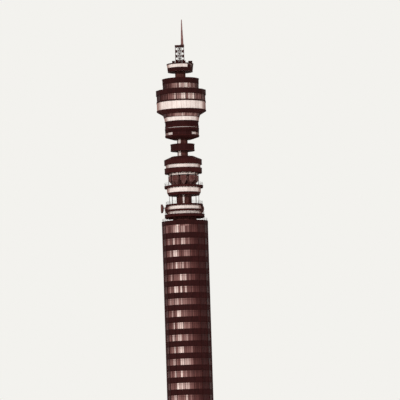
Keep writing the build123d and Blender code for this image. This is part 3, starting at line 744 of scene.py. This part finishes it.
# Drum aerials: one to the left and two at the back
def one_dish():
    """Rim, membrane, ribs, stays and wall plate of the drum aerial that faces -Y."""
    level = second_drum.middle
    front = (0, -0.888, level)
    pick()
    bpy.ops.mesh.primitive_torus_add(
        location=front, rotation=(math.pi / 2, 0, 0),
        major_radius=0.170, minor_radius=0.005, major_segments=48, minor_segments=8,
    )
    rim = settle(bpy.context.object)
    pick()
    bpy.ops.mesh.primitive_uv_sphere_add(segments=48, ring_count=16, radius=1)
    membrane = bpy.context.object
    membrane.scale = (0.163, 0.016, 0.163)
    membrane.location = front
    settle(membrane)
    parts = [rim, membrane]
    ribs = 12
    for number in range(ribs):
        angle = math.tau * number / ribs
        across, up = math.cos(angle), math.sin(angle)
        inner = (0.075 * across, -0.792, level + 0.075 * up)
        outer = (0.166 * across, -0.829, level + 0.166 * up)
        parts.append(rod(inner, outer, 0.003, 6))
    for side in (-1, 1):
        drum_end, wall_end = (side * 0.120, -0.817, level + 0.060), (side * 0.050, -0.642, level + 0.045)
        parts.append(rod(drum_end, wall_end, 0.005, 6))
    parts.append(block((0, -0.645, level), (0.075, 0.008, 0.075), 0.002))
    return joined(parts)


dishes = [moved_round(one_dish(), math.radians(angle + 90)) for angle in (180, 45, 135)]
fitted("dish_fittings", smooth(joined(dishes)), "dish_metal")

# Equipment tier: bars and three front covers over the pale slots
slot_bars = on_wall(
    tier_slot.radius, (-0.062, 0, 0.062), tier_slot.middle, (0.006, 0.006, tier_slot.height)
)
slot_posts = corner_posts(0.643, tier_slot.middle, (0.030, 0.010, tier_slot.height), 0.001)
fitted("tier_slot_bars", joined([around(joined(slot_bars)), slot_posts]), "mullion")
slot_cover = on_wall(tier_slot.radius + 0.006, mid_bay, tier_slot.middle, (0.238, 0.003, 0.093), 0.001)
fitted("tier_slot_covers", around(joined(slot_cover), 3, bay, -bay), "dark_cladding")

# Louvre blades and posts over the dark wall above the slots, and a pale line under the viewing floor
blade_size = (bay_width(tier_wall.radius, 0.030), 0.010, 0.004)
blade = block((0, -(tier_wall.radius + 0.004), tier_wall.low + 0.013), blade_size, lean=0.6)
louvre_posts = corner_posts(0.650, tier_wall.middle, (0.016, 0.010, tier_wall.height - 0.002), 0.001)
fitted("tier_louvres", joined([around(stacked(blade, 6, 0.018)), louvre_posts]), "dark_cladding")
pale_line_level = (tier_roof.top + viewing_floor.low) / 2
fitted("tier_pale_line", ring(0.604, pale_line_level, 0.006, 0.033), "pale_cladding")

# Viewing tier: ribs on the dark wall, cappings of the leaning parapet, leaning bars in the glass
rib_places = (-0.094, -0.047, 0, 0.047, 0.094)
rib_size = (0.008, 0.006, viewing_wall.height)
wall_ribs = on_wall(viewing_wall.radius, rib_places, viewing_wall.middle, rib_size)
fitted("viewing_wall_ribs", around(joined(wall_ribs)), "dark_cladding")
viewing_cappings = [
    wall_ring(viewing_parapet.radius + 0.002, viewing_parapet.low + 0.004, 0.014, 0.012),
    wall_ring(viewing_glass.radius + 0.004, viewing_glass.low - 0.001, 0.014, 0.012),
]
fitted("viewing_cappings", joined(viewing_cappings), "mullion")
slope = math.hypot(viewing_glass.spread, viewing_glass.height)
corner_lean = math.atan2(corner_of(viewing_glass.spread), viewing_glass.height)
outwards = viewing_glass.radius + viewing_glass.spread / 2 + 0.002
lean_bars = row(
    (-0.070, 0, 0.070), -outwards, viewing_glass.middle, (0.006, 0.006, slope - 0.006),
    lean=viewing_glass.lean,
)
lean_posts = corner_posts(
    corner_of(outwards), viewing_glass.middle, (0.012, 0.010, slope - 0.004), 0.001, corner_lean
)
fitted("viewing_bars", joined([around(joined(lean_bars)), lean_posts]), "mullion")

# Restaurant: parapet ribs, window bars with a transom, and cappings
parapet, window = restaurant_parapet, restaurant_window
rib_height = parapet.height - 0.004
parapet_ribs = on_wall(parapet.radius, (-0.0921, 0, 0.0921), parapet.middle, (0.005, 0.004, rib_height))
rib_posts = corner_posts(
    corner_of(parapet.radius) + 0.001, parapet.middle, (0.012, 0.006, rib_height), 0.001
)
fitted("restaurant_ribs", joined([around(joined(parapet_ribs)), rib_posts]), "pale_cladding")
window_width = bay_width(window.radius, 0.012)
bars = window_bars(window, quarters(window_width), window_width, (0.007, 0.008))
bars += on_wall(window.radius, mid_bay, window.low + 0.180, (window_width, 0.008, 0.006))
bar_posts = corner_posts(
    corner_of(window.radius) + 0.012, window.middle, (0.030, 0.014, window.height), 0.002
)
fitted("restaurant_bars", joined([around(joined(bars)), bar_posts]), "mullion")
restaurant_cappings = [
    wall_ring(restaurant_cornice.radius - 0.022, restaurant_cornice.top + 0.006, 0.040, 0.012),
    wall_ring(parapet.radius + 0.014, parapet.top + 0.003, 0.010, 0.008),
]
fitted("restaurant_cappings", joined(restaurant_cappings), "cornice")

# Upper tier: window bars, fascia ribs and roof edge
bars = window_bars(
    upper_window, (-0.067, 0, 0.067), bay_width(upper_window.radius, 0.004), (0.006, 0.008), 0.008
)
bar_posts = corner_posts(0.693, upper_window.middle, (0.012, 0.012, upper_window.height))
fitted("upper_bars", joined([around(joined(bars)), bar_posts]), "mullion")
fascia_y, fascia_level = -(upper_fascia.radius + 0.002), upper_fascia.low + 0.078
fascia_ribs = row((-0.090, -0.045, 0, 0.045, 0.090), fascia_y, fascia_level, (0.008, 0.005, 0.150))
roof_edge = ring(upper_fascia.radius + 0.012, upper_fascia.top + 0.003, 0.022, 0.010)
fitted("upper_fascia_ribs", joined([around(joined(fascia_ribs)), roof_edge]), "dark_cladding")

# Top drum: dark lower band, rims, and dark panels on its right, put there as painted shade on that side
panel_y, panel_level = -(top_drum.radius + 0.0265), top_drum.top - 0.105
shade_panel = block((0, panel_y, panel_level), (0.180, 0.006, 0.110), 0.001, top_drum.lean)
drum_parts = [around(shade_panel, 3, bay, bay * 2)]
for outwards, level, width, height in (
    (0.0105, top_drum.low + 0.080, 0.006, 0.140),
    (0.0360, top_drum.top - 0.020, 0.014, 0.044),
    (0.0010, top_drum.low + 0.010, 0.014, 0.022),
):
    drum_parts.append(wall_ring(top_drum.radius + outwards, level, width, height, top_drum.lean))
fitted("top_drum_bands", joined(drum_parts), "dark_cladding")

# Plant boxes on the sunk deck, in front of the mast, each with its place, width, depth and height
plant = []
for x, y, width, depth, height in (
    (-0.245, -0.290, 0.110, 0.090, 0.150),
    (-0.110, -0.330, 0.130, 0.080, 0.164),
    (0.025, -0.340, 0.100, 0.070, 0.140),
    (0.160, -0.300, 0.110, 0.080, 0.154),
):
    plant.append(block((x, y, mast.low + height / 2), (width, depth, height), 0.004))
fitted("deck_plant", joined(plant), "dark_cladding")

# Equipment cabinet: roof lip, doors on two sides, handle and louvres
cabinet = Band(top_drum.radius - 0.073, mast.low, mast.low + 0.160)
middle_x = cabinet.radius
handle_x, handle_y = middle_x + 0.050, -0.083
louvre = block((middle_x, -0.080, cabinet.middle + 0.035), (0.090, 0.006, 0.004), lean=0.5)
cabinet_parts = [
    block((middle_x, 0, cabinet.top + 0.004), (0.160, 0.160, 0.010), 0.002),
    block((middle_x, -0.077, cabinet.middle), (0.130, 0.004, 0.140), 0.001),
    block((middle_x + 0.077, 0, cabinet.middle + 0.030), (0.004, 0.130, 0.080), 0.001),
    rod((handle_x, handle_y, cabinet.middle - 0.015), (handle_x, handle_y, cabinet.middle + 0.015), 0.002),
    stacked(louvre, 4, 0.010),
]
fitted("cabinet_fittings", joined(cabinet_parts), "dark_cladding")

# Mast: base plates, gussets at the crossings and bay lines, and a ladder inside the back
leg_place = mast.radius - 0.012
ladder_x, ladder_y = 0.028, 0.120
gusset_y = -0.168
mast_parts = []
for y in (-leg_place, leg_place):
    mast_parts += row((-leg_place, leg_place), y, mast.low + 0.004, (0.060, 0.060, 0.008), 0.001)
crossing = block((0, gusset_y, mast.low + mast_bay_height / 2), (0.040, 0.006, 0.040), 0.001)
corners = row((-0.138, 0.138), gusset_y, mast.low + mast_bay_height, (0.030, 0.005, 0.070), 0.001)
gussets = [
    stacked(crossing, mast_bays, mast_bay_height),
    stacked(joined(corners), mast_bays - 1, mast_bay_height),
]
mast_parts.append(around(joined(gussets), 4, math.pi / 2))
for x in (-ladder_x, ladder_x):
    mast_parts.append(rod((x, ladder_y, mast.low + 0.001), (x, ladder_y, mast.top - 0.001), 0.003, 6))
rung = rod((-ladder_x, ladder_y, mast.low + 0.030), (ladder_x, ladder_y, mast.low + 0.030), 0.002, 6)
mast_parts.append(stacked(rung, 24, 0.030))
fitted("mast_fittings", joined(mast_parts), "steelwork")

# Spike: foot flange, collars on the way up and fins at the foot
spike_parts = []
for rise, radius, height in (
    (0.005, 0.072, 0.010),
    (0.254, 0.047, 0.014),
    (0.534, 0.036, 0.014),
    (0.794, 0.026, 0.014),
):
    pick()
    bpy.ops.mesh.primitive_cylinder_add(
        vertices=24, radius=radius, depth=height, location=(spike_x, 0, spike_base + rise)
    )
    spike_parts.append(settle(bpy.context.object))
fins, fin_reach = 6, 0.056
for number in range(fins):
    angle = math.tau * number / fins
    x, y = spike_x + fin_reach * math.cos(angle), fin_reach * math.sin(angle)
    spike_parts.append(block((x, y, spike_base + 0.026), (0.024, 0.004, 0.034), turn=angle))
fitted("spike_fittings", smooth(joined(spike_parts)), "spike_cover")

# Core: doors with knobs onto the open gallery and the aerial gallery
door_parts = []
for deck in (third_deck, aerial_deck):
    for angle in (bay * 2, bay * 10):
        door = block((0, -0.292, deck.top + 0.105), (0.084, 0.006, 0.200), 0.002)
        knob = rod((0.030, -0.295, deck.top + 0.100), (0.030, -0.303, deck.top + 0.100), 0.003)
        door_parts.append(moved_round(joined([door, knob]), angle))
fitted("core_doors", joined(door_parts), "dark_cladding")

# Pale floor
pick()
bpy.ops.mesh.primitive_plane_add(size=400, location=(0, 0, 0))
floor = bpy.context.object
floor.name = "floor"
floor_finish = Finish("pale_floor", roughness=0.9)
cloud = floor_finish.noise(floor_finish.place, scale=6.0, detail=3.0)
floor_finish.coloured(floor_finish.ramp(cloud, (0.3, tone(236, 234, 229)), (0.7, tone(240, 238, 234))))
floor.data.materials.append(floor_finish.material)


# Lamps
def distant_lamp(name, strength, spread, turn, rise):
    """Sun-like lamp that shines from a turn away from the front and a rise above the ground."""
    data = bpy.data.lights.new(name, "SUN")
    data.energy = strength
    data.angle = math.radians(spread)
    data.color = (1.0, 0.97, 0.94)
    lamp = bpy.data.objects.new(name, data)
    bpy.context.collection.objects.link(lamp)
    turn, rise = math.radians(turn), math.radians(rise)
    towards = Vector((math.sin(turn) * math.cos(rise), -math.cos(turn) * math.cos(rise), math.sin(rise)))
    lamp.rotation_euler = towards.to_track_quat("Z", "Y").to_euler()


distant_lamp("key_lamp", strength=2.2, spread=6, turn=-12, rise=16)
distant_lamp("back_lamp", strength=1.3, spread=20, turn=180, rise=35)
distant_lamp("top_lamp", strength=0.9, spread=40, turn=0, rise=89)

# World: soft light on the tower, and a pale backdrop for the camera, for reflections and through glass
world = bpy.data.worlds.new("pale_room")
bpy.context.scene.world = world
world.use_nodes = True
room = world.node_tree
room.nodes.clear()


def backdrop(colour, strength):
    """Background shader of the world."""
    made = room.nodes.new("ShaderNodeBackground")
    made.inputs["Color"].default_value = colour
    made.inputs["Strength"].default_value = strength
    return made.outputs[0]


def greater(first, second):
    """The greater of two sockets."""
    made = room.nodes.new("ShaderNodeMath")
    made.operation = "MAXIMUM"
    room.links.new(first, made.inputs[0])
    room.links.new(second, made.inputs[1])
    return made.outputs[0]


ray = room.nodes.new("ShaderNodeLightPath").outputs
mirrored = greater(ray["Is Glossy Ray"], ray["Is Transmission Ray"])
blend = room.nodes.new("ShaderNodeMixShader")
room.links.new(greater(ray["Is Camera Ray"], mirrored), blend.inputs["Fac"])
room.links.new(backdrop(tone(232, 224, 222), 0.45), blend.inputs[1])
room.links.new(backdrop(tone(243, 242, 238), 1.0), blend.inputs[2])
sky = room.nodes.new("ShaderNodeOutputWorld")
room.links.new(blend.outputs[0], sky.inputs["Surface"])

# Camera: far off near the ground, looking up at the head of the tower, slightly rolled
camera_place = (0, -125.0, 0.17)
yaw, pitch, roll = -0.276, 5.248, -1.8
camera_data = bpy.data.cameras.new("camera")
camera_data.sensor_width = 36
camera_data.lens = 296.5
camera_data.clip_end = 600
camera = bpy.data.objects.new("camera", camera_data)
bpy.context.collection.objects.link(camera)
camera.matrix_world = (
    Matrix.Translation(camera_place) @ Matrix.Rotation(math.radians(yaw), 4, "Z")
    @ Matrix.Rotation(math.radians(90 + pitch), 4, "X") @ Matrix.Rotation(math.radians(roll), 4, "Z")
)
bpy.context.scene.camera = camera
bpy.context.scene.view_settings.view_transform = "Standard"
